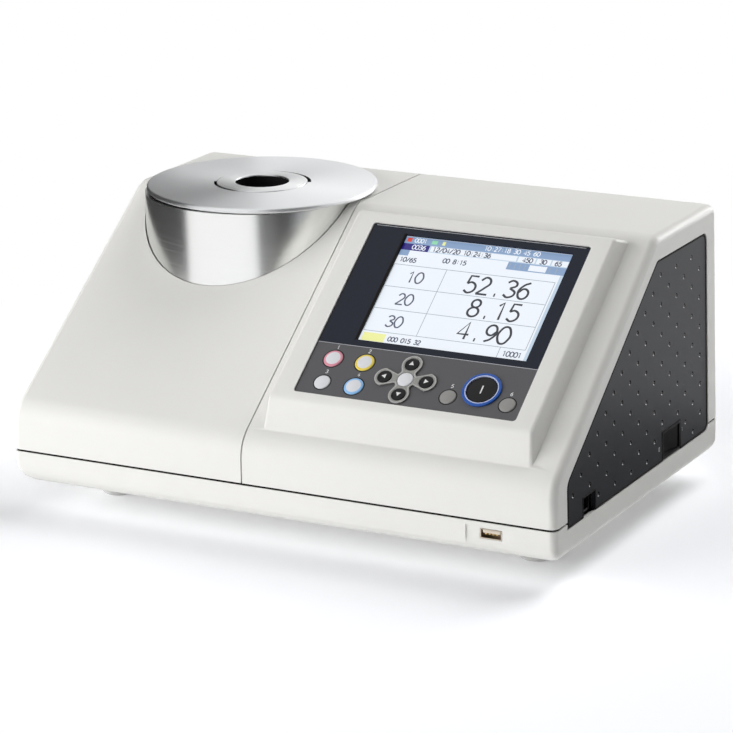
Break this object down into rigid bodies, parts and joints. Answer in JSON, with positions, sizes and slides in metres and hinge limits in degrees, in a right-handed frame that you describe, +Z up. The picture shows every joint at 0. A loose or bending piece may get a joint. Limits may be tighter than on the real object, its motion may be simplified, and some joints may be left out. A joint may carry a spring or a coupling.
{
  "type": "portable colorimeter",
  "caption": "Benchtop colour measuring instrument: sloping casing with a raised display and keys, and a metal column whose round stage holds a lift-out mask with the port.",
  "frame": {"origin": "on the floor under the middle of the casing", "axes": "+X to the right along the front, +Y from the front to the back, +Z up"},
  "size_m": [0.385, 0.261, 0.192],
  "materials": {
    "casing": "satin off-white moulding",
    "foot": "matt pale rubber",
    "rubber": "matt dark band",
    "dark_panel": "satin dark grey",
    "black": "satin black",
    "bezel": "glossy dark navy",
    "key_panel": "matt dark grey film",
    "pale_key": "satin pale grey",
    "pink_key": "pale key with a pink ring",
    "yellow_key": "pale key with a yellow ring",
    "blue_key": "pale key with a light blue ring",
    "grey_key": "satin mid grey",
    "screen": "lit display face",
    "blue_ring": "bright blue ring",
    "aluminium": "turned and brushed",
    "steel": "plated sheet and screws",
    "sphere": "black painted casting",
    "board": "green circuit board",
    "mat": "grey silicone"
  },
  "bodies": {
    "casing": {"base_tray": "casing", "foot_front_left": "foot", "foot_front_right": "foot", "foot_rear_left": "foot", "foot_rear_right": "foot", "joint_band": "rubber", "left_cover": "casing", "right_cover": "casing", "seam_strip": "casing", "side_panel": "dark_panel", "port_column": "aluminium", "stage_disc": "aluminium", "sphere_upper": "sphere", "sphere_lower": "sphere", "stage_frame": "steel", "receiving_optics": "black", "sensor_unit": "black", "lamp_unit": "black", "chassis_plate": "steel", "main_board": "board", "chassis_screw_1": "steel", "chassis_screw_2": "steel", "chassis_screw_3": "steel", "chassis_screw_4": "steel", "cover_screw_1": "steel", "cover_screw_2": "steel", "cover_screw_3": "steel", "cover_screw_4": "steel", "display_bezel": "bezel", "display_module": "screen", "display_bracket": "steel", "key_panel": "key_panel", "cursor_pad": "mat", "measure_ring": "blue_ring", "key_board": "board", "key_mat": "mat", "cable_socket": "black", "switch_housing": "black", "stick_socket": "steel", "rear_socket_plate": "dark_panel", "power_inlet": "black", "serial_socket": "steel"},
    "mask": {"target_mask": "aluminium"},
    "rocker": {"power_rocker": "black"},
    "target_key": {"target_key": "pink_key"},
    "standard_key": {"standard_key": "yellow_key"},
    "list_key": {"list_key": "pale_key"},
    "options_key": {"options_key": "blue_key"},
    "cursor_up_key": {"cursor_up_key": "black"},
    "cursor_down_key": {"cursor_down_key": "black"},
    "cursor_left_key": {"cursor_left_key": "black"},
    "cursor_right_key": {"cursor_right_key": "black"},
    "cursor_centre_key": {"cursor_centre_key": "pale_key"},
    "return_key": {"return_key": "grey_key"},
    "measure_key": {"measure_key": "black"},
    "output_key": {"output_key": "grey_key"}
  },
  "joints": [
    {"name": "mask_lift", "type": "slide", "parent": "casing", "child": "mask", "axis": [0, 0, 1], "range_m": [0, 0.06]},
    {"name": "rocker_turn", "type": "hinge", "parent": "casing", "child": "rocker", "pos_m": [0.184, 0.0519, 0.0469], "axis": [0, 0, 1], "range_deg": [0, 16]},
    {"name": "target_press", "type": "slide", "parent": "casing", "child": "target_key", "axis": [0, 0.5898, -0.8075], "range_m": [0, 0.0012], "stiffness_N_per_m": 600, "springref_m": -0.0005},
    {"name": "standard_press", "type": "slide", "parent": "casing", "child": "standard_key", "axis": [0, 0.5898, -0.8075], "range_m": [0, 0.0012], "stiffness_N_per_m": 600, "springref_m": -0.0005},
    {"name": "list_press", "type": "slide", "parent": "casing", "child": "list_key", "axis": [0, 0.5898, -0.8075], "range_m": [0, 0.0012], "stiffness_N_per_m": 600, "springref_m": -0.0005},
    {"name": "options_press", "type": "slide", "parent": "casing", "child": "options_key", "axis": [0, 0.5898, -0.8075], "range_m": [0, 0.0012], "stiffness_N_per_m": 600, "springref_m": -0.0005},
    {"name": "cursor_up_press", "type": "slide", "parent": "casing", "child": "cursor_up_key", "axis": [0, 0.5898, -0.8075], "range_m": [0, 0.0012], "stiffness_N_per_m": 600, "springref_m": -0.0005},
    {"name": "cursor_down_press", "type": "slide", "parent": "casing", "child": "cursor_down_key", "axis": [0, 0.5898, -0.8075], "range_m": [0, 0.0012], "stiffness_N_per_m": 600, "springref_m": -0.0005},
    {"name": "cursor_left_press", "type": "slide", "parent": "casing", "child": "cursor_left_key", "axis": [0, 0.5898, -0.8075], "range_m": [0, 0.0012], "stiffness_N_per_m": 600, "springref_m": -0.0005},
    {"name": "cursor_right_press", "type": "slide", "parent": "casing", "child": "cursor_right_key", "axis": [0, 0.5898, -0.8075], "range_m": [0, 0.0012], "stiffness_N_per_m": 600, "springref_m": -0.0005},
    {"name": "cursor_centre_press", "type": "slide", "parent": "casing", "child": "cursor_centre_key", "axis": [0, 0.5898, -0.8075], "range_m": [0, 0.0012], "stiffness_N_per_m": 600, "springref_m": -0.0005},
    {"name": "return_press", "type": "slide", "parent": "casing", "child": "return_key", "axis": [0, 0.5898, -0.8075], "range_m": [0, 0.0012], "stiffness_N_per_m": 600, "springref_m": -0.0005},
    {"name": "measure_press", "type": "slide", "parent": "casing", "child": "measure_key", "axis": [0, 0.5898, -0.8075], "range_m": [0, 0.0012], "stiffness_N_per_m": 600, "springref_m": -0.0005},
    {"name": "output_press", "type": "slide", "parent": "casing", "child": "output_key", "axis": [0, 0.5898, -0.8075], "range_m": [0, 0.0012], "stiffness_N_per_m": 600, "springref_m": -0.0005}
  ]
}
